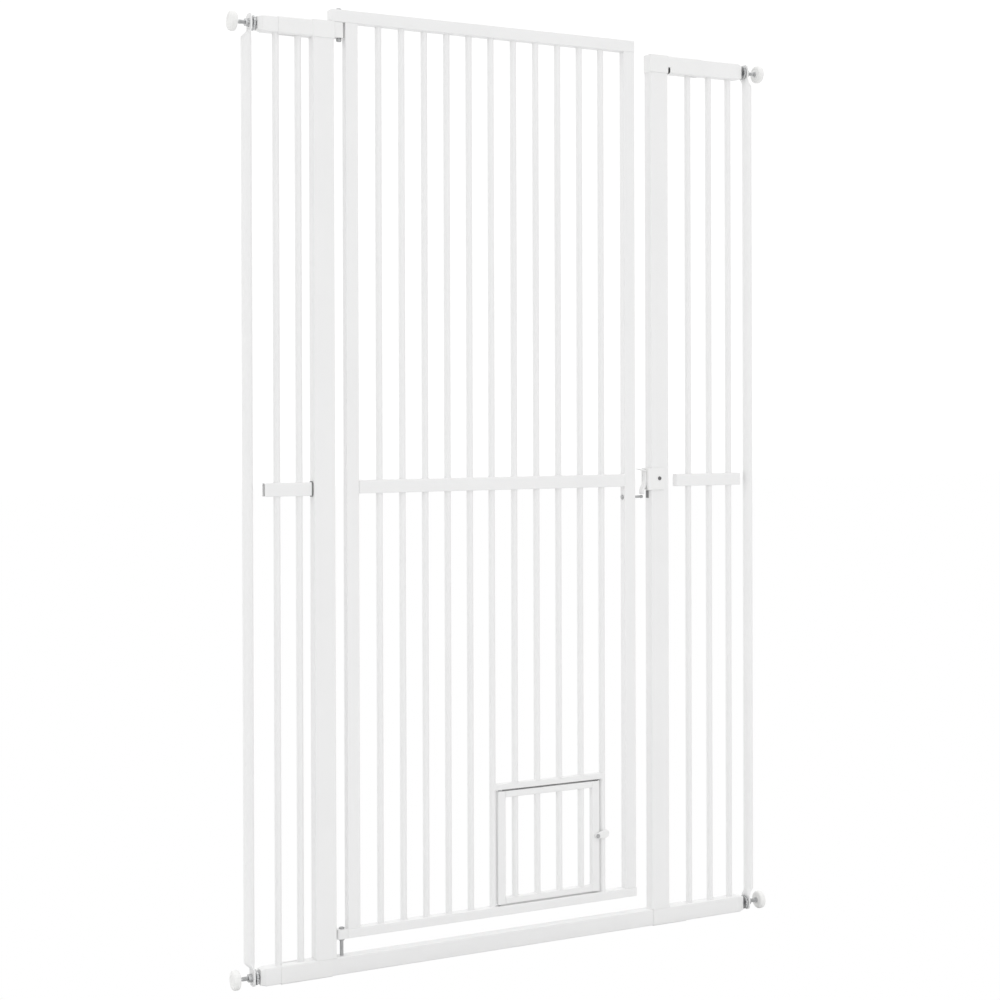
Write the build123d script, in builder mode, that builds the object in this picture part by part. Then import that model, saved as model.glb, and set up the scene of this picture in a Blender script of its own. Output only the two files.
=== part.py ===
from build123d import *
import os
from math import cos, radians, sin

# Tall pressure-fit pet gate: a hinged door between two posts, a small cat door inside it,
# and a side panel on each post that four hand-turned spindles press against the walls.
# X runs across the doorway, -Y faces the person at the latch, +Z is up.
# The origin is on the floor, midway between the two walls.

# ---- Whole gate -------------------------------------------------------------------------
frame_top = 1776.0           # floor to the top of the posts and their connectors
post_pitch = 732.0           # centre to centre of the two posts
left_reach = 179.5           # centre of the left post to the left wall
right_reach = 257.5          # centre of the right post to the right wall

# ---- Tube sections ----------------------------------------------------------------------
post_width = 42.0
post_depth = 25.0
post_wall = 1.5
post_corner = 3.0
rail_height = 33.0
left_top_rail_height = 29.0
rail_depth = 22.0
rail_wall = 1.2
rail_corner = 2.0
bar_radius = 6.35
bar_wall = 1.0
strip_height = 25.0
strip_cover = 1.15           # side strip past the bars that it wraps, front and back
strip_z = 908.0              # centre height of both side strips
sleeve_wall = 1.2            # how far a connector stands proud of its rail
sleeve_fit = 0.05            # clearance of a tube inside a connector, per side

# ---- Side panels: distances outwards from the centre of their post ------------------------
left_bar_places = (46.5, 90.0)
right_bar_places = (76.0, 127.0, 175.5)
left_sleeve_end = 88.0
right_bottom_sleeve_end = 61.0
right_top_sleeve_end = 103.0
left_sleeve_start = -12.0    # the bottom connectors begin this far inside the post's centre
right_sleeve_start = -17.5
threshold_overrun = 12.0     # end of the threshold rail past the post
bottom_rail_gap = 1.0        # extension rail to the end of the threshold rail
top_rail_gap = 8.0           # extension rail to the post
notch_width = 5.0            # notch in the right top connector, beside the post
notch_height = 12.0
left_strip_start = 24.5
right_strip_start = 43.0

# ---- Spindles: distances inwards from the wall -------------------------------------------
pad_radius = 18.0
pad_thickness = 13.0
pad_rim = 4.0                # rounding of the pad's rims
pad_grip = 4.0               # how far the rod's head sits inside the pad
rod_radius = 4.0
rod_length = 101.0
collar_radius = 5.5
collar_thickness = 3.0
wall_bar_inset = 33.0        # wall to the axis of the wall bar
wall_bar_radius = 10.0
wall_bar_wall = 1.2
tab_offset = 6.5             # flattened end of the wall bar, off its axis towards the gate
tab_thickness = 3.2
tab_width = 28.0
tab_length = 29.0
tab_taper = 14.0
tab_corner = 10.0
tab_top_overhang = 16.7      # rod's axis to the top of the wall bar
tab_bottom_overhang = 14.7   # rod's axis to the bottom of the wall bar
drain_radius = 2.5
drain_inset = 10.0
rod_hole_radius = 4.5
nut_flange_radius = 8.0
nut_flange_thickness = 1.5
nut_across_flats = 13.0
nut_height = 6.0
thread_fit = 0.05            # radial play of a nut or hand wheel on its rod
cap_inset = 52.0             # wall to the outer end of the rail cap
cap_length = 10.0
cap_taper = 2.5
cap_plug = 14.0
cap_plug_wall = 2.5
wheel_radius = 14.0
wheel_thickness = 4.0
wheel_gap = 4.5              # hand wheel to the rail cap
wheel_hub_radius = 8.0
wheel_notches = 12
wheel_notch_radius = 1.6
side_play = 0.4              # gap from the hand wheel's hub to the wall bar
left_strip_stop = 64.0       # wall to the end of the side strip
right_strip_stop = 57.0

# ---- Door -------------------------------------------------------------------------------
door_rise = 0.5              # hinge bracket to the door's top rail
hinge_gap = 24.0             # left post to hinge stile
latch_gap = 36.0             # latch stile to right post
door_bottom = 66.0
stile_width = 25.0
door_depth = 18.0
door_wall = 1.2
door_corner = 1.5
top_rail_height = 23.5
mid_rail_height = 25.0
mid_rail_z = 910.0
bottom_rail_height = 18.0
bottom_rail_overrun = 1.0    # bottom rail past the latch stile
hinge_bay = 44.7             # hinge stile to the centre of the first bar
latch_bay = 50.0             # centre of the last bar to the latch stile
cat_bay = 247.5              # centre to centre of the two bars beside the cat door
hinge_side_bars = 6
short_bar_count = 4
hole_fit = 0.05              # clearance of a bar in the rail it passes through

# ---- Door hinge -------------------------------------------------------------------------
hinge_inset = 10.0           # hinge stile to the hinge axis
hinge_pin_radius = 3.4
hinge_fit = 0.05
hinge_head_radius = 5.0
hinge_head_height = 3.0
hinge_arm = 21.0             # top rail past the hinge axis
hinge_arm_corner = 5.0
bracket_height = 28.5
bracket_depth = 18.0
bracket_reach = 8.0          # hinge bracket past the hinge axis
bracket_corner = 7.0
bracket_play = 0.5           # hinge bracket to the nut below it
hinge_nut_radius = 4.9
hinge_nut_height = 6.0
block_reach = 10.5           # bottom rail past the hinge axis
block_depth = 18.0
block_corner = 4.5
washer_radius = 6.2
washer_thickness = 1.5
washer_cone_radius = 4.4     # the washer's underside runs down to this radius
washer_cone_height = 2.5
pin_seat = 8.0               # how far the bottom pin reaches into the threshold

# ---- Cat door ---------------------------------------------------------------------------
cat_side_gap = 2.9
cat_bottom_gap = 3.0
cat_door_height = 221.0
cat_top_gap = 3.0
header_height = 12.0
cat_tube = 12.5
cat_stile_width = 17.0
cat_tube_corner = 1.5
cat_pin_radius = 2.5
cat_pin_inset = 6.25         # outer edge of the cat door to its hinge axis, and to the rivet
cat_pin_bite = 6.0           # pin length inside each of the two pieces it joins
button_z = 198.0
button_play = 0.5            # turn button to the front of the cat door
button_bar_play = 0.4        # turn button to the front of the bar it locks on
button_length = 27.0
button_radius = 8.5
button_thickness = 3.5
button_slant = 8.0           # degrees above level when locked
button_eye_radius = 5.5
rivet_radius = 2.5
rivet_head_radius = 4.2
rivet_head_height = 1.6
rivet_play = 0.3             # turn button to the rivet's head

# ---- Latch, with heights from the lever's pivot -------------------------------------------
pivot_z = 918.0
housing_rise = 16.0
housing_drop = 28.0
housing_plate = 2.5
housing_wing = 8.5           # wing past the post's side
housing_width = 29.5         # front plate past the post's edge
housing_back = 12.5          # wing behind the post's mid-plane
slot_width = 16.5
lever_width = 12.5
lever_offset = -1.6          # the lever sits towards the front of its slot
pivot_radius = 1.5
pivot_seat = 3.5             # pivot pin's length inside each side of the housing
pivot_out = 6.2              # pivot axis, outwards from the post's side
spring_radius = 2.6
spring_width = 2.4
screw_head_radius = 4.0
screw_head_height = 2.2
screw_radius = 2.0
screw_length = 16.0
screw_drop = 5.0
screw_offset = -3.0          # screw's axis off the middle of the post
bolt_radius = 2.5
bolt_drop = 42.0
bolt_head_radius = 3.1
bolt_head_length = 5.0
bolt_tip_gap = 14.3          # bolt head to the post's side
nose_play = 2.0              # lever's nose to the bolt's head
pan_nut_radius = 4.7
pan_nut_height = 3.0
thin_nut_flats = 8.0
thin_nut_height = 3.0
strike_thickness = 1.2
strike_width = 9.0
strike_height = 15.0
strike_offset = 3.0          # middle of the strike plate behind the post's mid-plane
strike_rise = 4.5            # middle of the strike plate above the bolt

# ---- Places that follow from the sizes above ----------------------------------------------
wall_x = (left_reach + post_pitch + right_reach) / 2
left_post_x = left_reach - wall_x
right_post_x = wall_x - right_reach
rail_top_face = sleeve_wall + rail_height

door_left = left_post_x + post_width / 2 + hinge_gap
door_right = right_post_x - post_width / 2 - latch_gap
hinge_x = door_left - hinge_inset
door_rail_top = door_bottom + bottom_rail_height
door_top_underside = frame_top + door_rise
door_top = door_top_underside + top_rail_height
last_bar_x = door_right - stile_width - latch_bay
sixth_bar_x = last_bar_x - cat_bay
first_bar_x = door_left + stile_width + hinge_bay
left_bar_pitch = (sixth_bar_x - first_bar_x) / (hinge_side_bars - 1)
short_bar_pitch = cat_bay / (short_bar_count + 1)

cat_left = sixth_bar_x + bar_radius + cat_side_gap
cat_right = last_bar_x - bar_radius - cat_side_gap
cat_bottom = door_rail_top + cat_bottom_gap
cat_top = cat_bottom + cat_door_height
header_bottom = cat_top + cat_top_gap
header_top = header_bottom + header_height
cat_hinge_x = cat_left + cat_pin_inset
button_x = cat_right - cat_pin_inset

latch_face_x = right_post_x - post_width / 2
housing_front = post_depth / 2 + housing_plate
housing_top = pivot_z + housing_rise
housing_bottom = pivot_z - housing_drop
screw_z = pivot_z - screw_drop
screw_x = right_post_x + screw_offset
bolt_z = pivot_z - bolt_drop
strip_depth = 2 * (bar_radius + strip_cover)

SIDES = (("left", -1, left_post_x, left_bar_places), ("right", 1, right_post_x, right_bar_places))
RAIL_HEIGHTS = {
    ("left", "bottom"): rail_height, ("left", "top"): left_top_rail_height,
    ("right", "bottom"): rail_height, ("right", "top"): rail_height,
}
SLEEVE_ENDS = {
    ("left", "bottom"): left_sleeve_end, ("left", "top"): left_sleeve_end,
    ("right", "bottom"): right_bottom_sleeve_end, ("right", "top"): right_top_sleeve_end,
}
SLEEVE_STARTS = {"left": left_sleeve_start, "right": right_sleeve_start}
STRIP_SPANS = {
    "left": (left_strip_start, left_reach - left_strip_stop),
    "right": (right_strip_start, right_reach - right_strip_stop),
}

os.makedirs("parts", exist_ok=True)


def keep(builder, name):
    """Label a finished piece and write it."""
    builder.part.label = name
    export_step(builder.part, f"parts/{name}.step")


def rail_axis(side_name, level):
    """The height of an extension rail's axis, which its rod shares."""
    half = RAIL_HEIGHTS[side_name, level] / 2
    if level == "bottom":
        return sleeve_wall + half
    return frame_top - sleeve_wall - half


def tube_along_x(x_from, x_to, z_mid, depth, height, wall, corner):
    """A rectangular tube along X, centred on y = 0."""
    with BuildPart() as tube:
        with BuildSketch(Plane.YZ.offset(min(x_from, x_to))):
            with Locations((0, z_mid)):
                RectangleRounded(depth, height, corner)
                RectangleRounded(
                    depth - 2 * wall, height - 2 * wall, corner / 2, mode=Mode.SUBTRACT
                )
        extrude(amount=abs(x_to - x_from))
    return tube


def upright_tube(x_mid, z_from, z_to, width, depth, wall, corner):
    """A rectangular tube along Z, centred on y = 0."""
    with BuildPart() as tube:
        with BuildSketch(Plane.XY.offset(z_from)):
            with Locations((x_mid, 0)):
                RectangleRounded(width, depth, corner)
                RectangleRounded(
                    width - 2 * wall, depth - 2 * wall, corner / 2, mode=Mode.SUBTRACT
                )
        extrude(amount=z_to - z_from)
    return tube


def upright_bars(places, z_from, z_to):
    """Round bars along Z, one at each x in places."""
    with BuildPart() as bars:
        with BuildSketch(Plane.XY.offset(z_from)):
            with Locations(*[(x, 0) for x in places]):
                Circle(bar_radius)
                Circle(bar_radius - bar_wall, mode=Mode.SUBTRACT)
        extrude(amount=z_to - z_from)
    return bars


def strip_with_holes(x_from, x_to, z_mid, height, depth, bars):
    """A tube along X that upright bars pass through."""
    with BuildPart() as strip:
        add(tube_along_x(x_from, x_to, z_mid, depth, height, door_wall, door_corner).part)
        with Locations(*[(x, 0, z_mid) for x in bars]):
            Cylinder(bar_radius + hole_fit, 2 * height, mode=Mode.SUBTRACT)
    return strip


def cut_bar_slot(post_x, out, bar_places, sleeve_end, wall_z):
    """Cut the slot that lets a connector slide over the side bars as far as the first one."""
    first = bar_places[0]
    if first > sleeve_end:
        return
    slot_depth = 2 * (bar_radius + hole_fit)
    with Locations((post_x + out * first, 0, wall_z)):
        Cylinder(slot_depth / 2, 4 * sleeve_wall, mode=Mode.SUBTRACT)
    with Locations((post_x + out * (first + sleeve_end) / 2, 0, wall_z)):
        Box(sleeve_end - first, slot_depth, 4 * sleeve_wall, mode=Mode.SUBTRACT)


# ---- Posts ------------------------------------------------------------------------------
# Each post stands on the threshold rail, which runs through below it.
post_top = frame_top - sleeve_wall

with BuildPart() as left_post:
    add(upright_tube(left_post_x, rail_top_face, post_top, post_width, post_depth,
                     post_wall, post_corner).part)
keep(left_post, "left_post")

with BuildPart() as right_post:
    add(upright_tube(right_post_x, rail_top_face, post_top, post_width, post_depth,
                     post_wall, post_corner).part)
    with Locations((screw_x, -post_depth / 2, screw_z)):
        Cylinder(screw_radius, 4 * post_wall, rotation=(90, 0, 0), mode=Mode.SUBTRACT)
keep(right_post, "right_post")

# The threshold rail ends inside the two bottom connectors.
threshold_stub = post_width / 2 + threshold_overrun
with BuildPart() as threshold_rail:
    add(tube_along_x(left_post_x - threshold_stub, right_post_x + threshold_stub,
                     sleeve_wall + rail_height / 2, rail_depth, rail_height, rail_wall,
                     rail_corner).part)
    with Locations((hinge_x, 0, rail_top_face)):
        Cylinder(hinge_pin_radius + hinge_fit, 4 * rail_wall, mode=Mode.SUBTRACT)
keep(threshold_rail, "threshold_rail")

# ---- Side panels ------------------------------------------------------------------------
for side_name, out, post_x, bar_places in SIDES:
    reach = out * (out * wall_x - post_x)
    rail_end = reach - cap_inset - cap_length

    # Bottom connector: a short sleeve over the end of the threshold and the extension rail.
    # The post stands through a slot in its upper side, and the side bars in another one.
    sleeve_start = SLEEVE_STARTS[side_name]
    sleeve_end = SLEEVE_ENDS[side_name, "bottom"]
    with BuildPart() as bottom_connector:
        add(tube_along_x(post_x + out * sleeve_start, post_x + out * sleeve_end,
                         rail_axis(side_name, "bottom"), rail_depth + 2 * sleeve_wall,
                         rail_height + 2 * sleeve_wall, sleeve_wall - sleeve_fit,
                         rail_corner + sleeve_wall).part)
        with Locations((post_x, 0, rail_top_face + sleeve_wall)):
            Box(post_width + 2 * sleeve_fit, 2 * post_depth, 2 * sleeve_wall,
                mode=Mode.SUBTRACT)
        cut_bar_slot(post_x, out, bar_places, sleeve_end, rail_top_face)
    keep(bottom_connector, f"{side_name}_bottom_connector")

    # Top connector: a cap over the post joined to a sleeve over the extension rail.
    # The left one also carries the hinge bracket, the right one has a notch by the post.
    sleeve_end = SLEEVE_ENDS[side_name, "top"]
    top_rail_z = rail_axis(side_name, "top")
    top_height = RAIL_HEIGHTS[side_name, "top"]
    cap_width = post_width + 2 * sleeve_wall
    cap_height = top_height + 2 * sleeve_wall
    with BuildPart() as top_connector:
        with BuildSketch(Plane.XY.offset(frame_top - cap_height)):
            with Locations((post_x, 0)):
                RectangleRounded(cap_width, post_depth + 2 * sleeve_wall, post_corner)
        extrude(amount=cap_height)
        with BuildSketch(Plane.YZ.offset(post_x)):
            with Locations((0, top_rail_z)):
                RectangleRounded(rail_depth + 2 * sleeve_wall, cap_height,
                                 rail_corner + sleeve_wall)
        extrude(amount=out * sleeve_end)
        if side_name == "left":
            bracket_length = hinge_gap - hinge_inset + bracket_reach
            with BuildSketch(Plane.XY.offset(frame_top - bracket_height)):
                with Locations((post_x + post_width / 2 + bracket_length / 2, 0)):
                    RectangleRounded(bracket_length, bracket_depth, bracket_corner)
                with Locations((post_x + post_width / 2 + bracket_corner / 2, 0)):
                    Rectangle(bracket_corner, bracket_depth)
            extrude(amount=bracket_height)
            with Locations((hinge_x, 0, top_rail_z)):
                Cylinder(hinge_pin_radius + hinge_fit, 2 * cap_height, mode=Mode.SUBTRACT)
        with BuildSketch(Plane.XY.offset(frame_top - cap_height)):
            with Locations((post_x, 0)):
                RectangleRounded(post_width + 2 * sleeve_fit,
                                 post_depth + 2 * sleeve_fit, post_corner)
        extrude(amount=cap_height - sleeve_wall, mode=Mode.SUBTRACT)
        with BuildSketch(Plane.YZ.offset(post_x)):
            with Locations((0, top_rail_z)):
                RectangleRounded(rail_depth + 2 * sleeve_fit, top_height + 2 * sleeve_fit,
                                 rail_corner)
        extrude(amount=out * sleeve_end, mode=Mode.SUBTRACT)
        if side_name == "right":
            with Locations((post_x + cap_width / 2, -rail_depth / 2, frame_top - cap_height)):
                Box(notch_width, rail_depth, 2 * notch_height,
                    align=(Align.MIN, Align.CENTER, Align.CENTER), mode=Mode.SUBTRACT)
        cut_bar_slot(post_x, out, bar_places, sleeve_end, top_rail_z - top_height / 2)
    keep(top_connector, f"{side_name}_top_connector")

    for level, rail_start in (
        ("bottom", threshold_stub + bottom_rail_gap), ("top", post_width / 2 + top_rail_gap),
    ):
        extension_rail = tube_along_x(post_x + out * rail_start, post_x + out * rail_end,
                                      rail_axis(side_name, level), rail_depth,
                                      RAIL_HEIGHTS[side_name, level], rail_wall, rail_corner)
        keep(extension_rail, f"{side_name}_{level}_rail")

    side_bars = upright_bars([post_x + out * place for place in bar_places], rail_top_face,
                             top_rail_z - top_height / 2)
    keep(side_bars, f"{side_name}_side_bars")

    # Side strip: a tube that the side bars pass through, closed at its end by the post.
    strip_start, strip_end = STRIP_SPANS[side_name]
    with BuildPart() as side_strip:
        add(strip_with_holes(post_x + out * strip_start, post_x + out * strip_end, strip_z,
                             strip_height, strip_depth,
                             [post_x + out * place for place in bar_places]).part)
        with BuildSketch(Plane.YZ.offset(post_x + out * strip_start)):
            with Locations((0, strip_z)):
                Rectangle(strip_depth - 2 * door_wall, strip_height - 2 * door_wall)
        extrude(amount=out * door_wall)
    keep(side_strip, f"{side_name}_side_strip")

    # Wall bar: a round tube whose two ends are pressed flat and drilled for the rods.
    bar_x = out * (wall_x - wall_bar_inset)
    tab_x = bar_x - out * tab_offset
    low_hole = rail_axis(side_name, "bottom")
    low = low_hole - tab_bottom_overhang
    high = top_rail_z + tab_top_overhang
    with BuildPart() as wall_bar:
        straight_low = low + tab_length + tab_taper
        straight_high = high - tab_length - tab_taper
        with BuildSketch(Plane.XY.offset(straight_low)):
            with Locations((bar_x, 0)):
                Circle(wall_bar_radius)
        extrude(amount=straight_high - straight_low)
        for straight_z, tab_end, inward, hole_z in (
            (straight_low, low, 1, low_hole), (straight_high, high, -1, top_rail_z),
        ):
            tab_z = tab_end + inward * tab_length
            with BuildSketch(Plane.XY.offset(straight_z)):
                with Locations((bar_x, 0)):
                    Circle(wall_bar_radius)
            with BuildSketch(Plane.XY.offset(tab_z)):
                with Locations((tab_x, 0)):
                    SlotOverall(tab_width, tab_thickness, rotation=90)
            loft()
            with BuildSketch(Plane.XY.offset(tab_z)):
                with Locations((tab_x, 0)):
                    SlotOverall(tab_width, tab_thickness, rotation=90)
            extrude(amount=-inward * tab_length)
            with BuildSketch(Plane.YZ.offset(tab_x)):
                with Locations((0, tab_end + inward * tab_corner / 2)):
                    Rectangle(2 * tab_width, tab_corner)
                with Locations((0, tab_end + inward * tab_length / 2)):
                    RectangleRounded(tab_width, tab_length, tab_corner, mode=Mode.SUBTRACT)
            extrude(amount=tab_thickness, both=True, mode=Mode.SUBTRACT)
            with Locations((tab_x, 0, hole_z)):
                Cylinder(rod_hole_radius, 4 * tab_thickness, rotation=(0, 90, 0),
                         mode=Mode.SUBTRACT)
        with Locations((bar_x, 0, (straight_low + straight_high) / 2)):
            Cylinder(wall_bar_radius - wall_bar_wall, straight_high - straight_low,
                     mode=Mode.SUBTRACT)
        # Drain holes near both ends, at the back.
        for drain_z in (straight_low + drain_inset, straight_high - drain_inset):
            with Locations((bar_x, wall_bar_radius, drain_z)):
                Cylinder(drain_radius, 4 * wall_bar_wall, rotation=(90, 0, 0),
                         mode=Mode.SUBTRACT)
    keep(wall_bar, f"{side_name}_wall_bar")

# ---- Spindle hardware ---------------------------------------------------------------------
tab_out = wall_bar_inset + tab_offset            # distances inwards from the wall
nut_seat = tab_out - tab_thickness / 2
wheel_outer = tab_out + tab_thickness / 2 + side_play
wheel_inner = cap_inset - wheel_gap
corners = [
    (f"{side_name}_{level}", out, rail_axis(side_name, level), RAIL_HEIGHTS[side_name, level])
    for side_name, out, *_ in SIDES for level in ("bottom", "top")
]


def from_wall(out, distance):
    """The x that lies this far inwards from the wall on the given side."""
    return out * (wall_x - distance)


with BuildPart() as rail_end_caps:
    for _, out, rail_z, height in corners:
        with BuildSketch(Plane.YZ.offset(from_wall(out, cap_inset + cap_length))):
            with Locations((0, rail_z)):
                RectangleRounded(rail_depth, height, rail_corner)
        with BuildSketch(Plane.YZ.offset(from_wall(out, cap_inset))):
            with Locations((0, rail_z)):
                RectangleRounded(rail_depth - 2 * cap_taper, height - 2 * cap_taper,
                                 rail_corner)
        loft()
        with BuildSketch(Plane.YZ.offset(from_wall(out, cap_inset + cap_length))):
            with Locations((0, rail_z)):
                RectangleRounded(rail_depth - 2 * rail_wall - 2 * sleeve_fit,
                                 height - 2 * rail_wall - 2 * sleeve_fit,
                                 rail_corner / 2)
                RectangleRounded(rail_depth - 2 * rail_wall - 2 * cap_plug_wall,
                                 height - 2 * rail_wall - 2 * cap_plug_wall,
                                 rail_corner / 2, mode=Mode.SUBTRACT)
        extrude(amount=-out * cap_plug)
        with Locations((from_wall(out, cap_inset + cap_length / 2), 0, rail_z)):
            Cylinder(rod_hole_radius, 2 * cap_length, rotation=(0, 90, 0), mode=Mode.SUBTRACT)
keep(rail_end_caps, "rail_end_caps")

with BuildPart() as lock_nuts:
    for _, out, rail_z, _ in corners:
        with BuildSketch(Plane.YZ.offset(from_wall(out, nut_seat))):
            with Locations((0, rail_z)):
                Circle(nut_flange_radius)
        extrude(amount=out * nut_flange_thickness)
        with BuildSketch(Plane.YZ.offset(from_wall(out, nut_seat - nut_flange_thickness))):
            with Locations((0, rail_z)):
                RegularPolygon(nut_across_flats / 2, 6, major_radius=False)
        extrude(amount=out * nut_height)
        with Locations((from_wall(out, nut_seat), 0, rail_z)):
            Cylinder(rod_radius + thread_fit, 4 * nut_height, rotation=(0, 90, 0),
                     mode=Mode.SUBTRACT)
keep(lock_nuts, "lock_nuts")

for place, out, rail_z, _ in corners:
    # Rubber pad, rounded on both rims and moulded over the rod's head.
    with BuildPart() as pad:
        with BuildSketch(Plane.YZ.offset(from_wall(out, 0))):
            with Locations((0, rail_z)):
                Circle(pad_radius)
        extrude(amount=-out * pad_thickness)
        fillet(pad.edges().filter_by(GeomType.CIRCLE), pad_rim)
        with Locations((from_wall(out, pad_thickness - pad_grip / 2), 0, rail_z)):
            Cylinder(rod_radius, pad_grip, rotation=(0, 90, 0), mode=Mode.SUBTRACT)
    keep(pad, f"{place}_pad")

    with BuildPart() as rod:
        with BuildSketch(Plane.YZ.offset(from_wall(out, pad_thickness - pad_grip))):
            with Locations((0, rail_z)):
                Circle(rod_radius)
        extrude(amount=-out * rod_length)
        with BuildSketch(Plane.YZ.offset(from_wall(out, pad_thickness))):
            with Locations((0, rail_z)):
                Circle(collar_radius)
        extrude(amount=-out * collar_thickness)
    keep(rod, f"{place}_rod")

    # Hand wheel: a notched disc with a hub, threaded on the rod.
    with BuildPart() as wheel:
        with BuildSketch(Plane.YZ.offset(from_wall(out, wheel_inner))):
            with Locations((0, rail_z)):
                Circle(wheel_radius)
                with PolarLocations(wheel_radius, wheel_notches):
                    Circle(wheel_notch_radius, mode=Mode.SUBTRACT)
        extrude(amount=out * wheel_thickness)
        with BuildSketch(Plane.YZ.offset(from_wall(out, wheel_inner - wheel_thickness))):
            with Locations((0, rail_z)):
                Circle(wheel_hub_radius)
        extrude(amount=out * (wheel_inner - wheel_thickness - wheel_outer))
        with Locations((from_wall(out, wheel_inner), 0, rail_z)):
            Cylinder(rod_radius + thread_fit, 4 * wheel_inner, rotation=(0, 90, 0),
                     mode=Mode.SUBTRACT)
    keep(wheel, f"{place}_hand_wheel")

# ---- Door frame -------------------------------------------------------------------------
hinge_stile = upright_tube(door_left + stile_width / 2, door_rail_top, door_top_underside,
                           stile_width, door_depth, door_wall, door_corner)
keep(hinge_stile, "door_hinge_stile")

with BuildPart() as latch_stile:
    add(upright_tube(door_right - stile_width / 2, door_rail_top, door_top_underside,
                     stile_width, door_depth, door_wall, door_corner).part)
    with Locations((door_right - stile_width / 2, 0, bolt_z)):
        Cylinder(bolt_radius + hole_fit, 2 * stile_width, rotation=(0, 90, 0),
                 mode=Mode.SUBTRACT)
keep(latch_stile, "door_latch_stile")

# The top rail runs out over the hinge bracket and is closed at both ends.
top_rail_mid = door_top - top_rail_height / 2
with BuildPart() as door_top_rail:
    with BuildSketch(Plane.YZ.offset(hinge_x - hinge_arm)):
        with Locations((0, top_rail_mid)):
            RectangleRounded(door_depth, top_rail_height, door_corner)
    extrude(amount=door_right - hinge_x + hinge_arm)
    fillet(door_top_rail.faces().sort_by(Axis.X)[0].edges().filter_by(Axis.Z), hinge_arm_corner)
    with BuildSketch(Plane.YZ.offset(hinge_x - hinge_arm + hinge_arm_corner)):
        with Locations((0, top_rail_mid)):
            RectangleRounded(door_depth - 2 * door_wall, top_rail_height - 2 * door_wall,
                             door_corner / 2)
    extrude(amount=door_right - hinge_x + hinge_arm - hinge_arm_corner - door_wall,
            mode=Mode.SUBTRACT)
    with Locations((hinge_x, 0, top_rail_mid)):
        Cylinder(hinge_pin_radius, 2 * top_rail_height, mode=Mode.SUBTRACT)
keep(door_top_rail, "door_top_rail")

# The bottom rail ends in a solid hinge block on the left.
bottom_rail_mid = door_bottom + bottom_rail_height / 2
block_left = hinge_x - block_reach
with BuildPart() as door_bottom_rail:
    add(tube_along_x(door_left, door_right + bottom_rail_overrun, bottom_rail_mid, door_depth,
                     bottom_rail_height, door_wall, door_corner).part)
    block_length = door_left - block_left + 2 * door_wall
    with BuildSketch(Plane.XY.offset(door_bottom)):
        with Locations((block_left + block_length / 2, 0)):
            Rectangle(block_length, block_depth - 2 * door_wall)
    extrude(amount=bottom_rail_height)
    fillet(door_bottom_rail.edges().filter_by(Axis.Z).group_by(Axis.X)[0], block_corner)
    with BuildSketch(Plane.YZ.offset(door_right + bottom_rail_overrun - door_wall)):
        with Locations((0, bottom_rail_mid)):
            Rectangle(door_depth - 2 * door_wall, bottom_rail_height - 2 * door_wall)
    extrude(amount=door_wall)
    with Locations((hinge_x, 0, bottom_rail_mid)):
        Cylinder(hinge_pin_radius, 2 * bottom_rail_height, mode=Mode.SUBTRACT)
    with Locations((cat_hinge_x, 0, door_rail_top)):
        Cylinder(cat_pin_radius + hinge_fit, 4 * door_wall, mode=Mode.SUBTRACT)
keep(door_bottom_rail, "door_bottom_rail")

left_field = [first_bar_x + step * left_bar_pitch for step in range(hinge_side_bars)]
short_places = [sixth_bar_x + (step + 1) * short_bar_pitch for step in range(short_bar_count)]
all_bars = left_field + short_places + [last_bar_x]

door_mid_rail = strip_with_holes(door_left + stile_width, door_right - stile_width, mid_rail_z,
                                 mid_rail_height, door_depth, all_bars)
keep(door_mid_rail, "door_mid_rail")

keep(upright_bars(left_field, door_rail_top, door_top_underside), "door_bars")
keep(upright_bars([last_bar_x], door_rail_top, door_top_underside), "door_latch_side_bar")
keep(upright_bars(short_places, header_top, door_top_underside), "door_short_bars")

# The header is a square tube, hollowed at its ends to sit on the two round bars.
with BuildPart() as cat_door_header:
    add(tube_along_x(sixth_bar_x, last_bar_x, (header_bottom + header_top) / 2, cat_tube,
                     header_height, door_wall, cat_tube_corner).part)
    with Locations(*[(x, 0, header_bottom) for x in (sixth_bar_x, last_bar_x)]):
        Cylinder(bar_radius, 4 * header_height, mode=Mode.SUBTRACT)
    with Locations((cat_hinge_x, 0, header_bottom)):
        Cylinder(cat_pin_radius + hinge_fit, 4 * door_wall, mode=Mode.SUBTRACT)
keep(cat_door_header, "cat_door_header")

# ---- Door hinge -------------------------------------------------------------------------
nut_top = frame_top - bracket_height - bracket_play
with BuildPart() as top_hinge_pin:
    with BuildSketch(Plane.XY.offset(nut_top - hinge_nut_height / 2)):
        with Locations((hinge_x, 0)):
            Circle(hinge_pin_radius)
    extrude(amount=door_top - nut_top + hinge_nut_height / 2)
    with BuildSketch(Plane.XY.offset(door_top)):
        with Locations((hinge_x, 0)):
            Circle(hinge_head_radius)
    extrude(amount=hinge_head_height)
    fillet(top_hinge_pin.edges().group_by(Axis.Z)[-1], hinge_head_height / 2)
keep(top_hinge_pin, "top_hinge_pin")

with BuildPart() as top_hinge_nut:
    with BuildSketch(Plane.XY.offset(nut_top - hinge_nut_height)):
        with Locations((hinge_x, 0)):
            Circle(hinge_nut_radius)
    extrude(amount=hinge_nut_height)
    fillet(top_hinge_nut.edges().group_by(Axis.Z)[0], hinge_nut_height / 3)
    with Locations((hinge_x, 0, nut_top)):
        Cylinder(hinge_pin_radius, hinge_nut_height, mode=Mode.SUBTRACT)
keep(top_hinge_nut, "top_hinge_nut")

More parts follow.
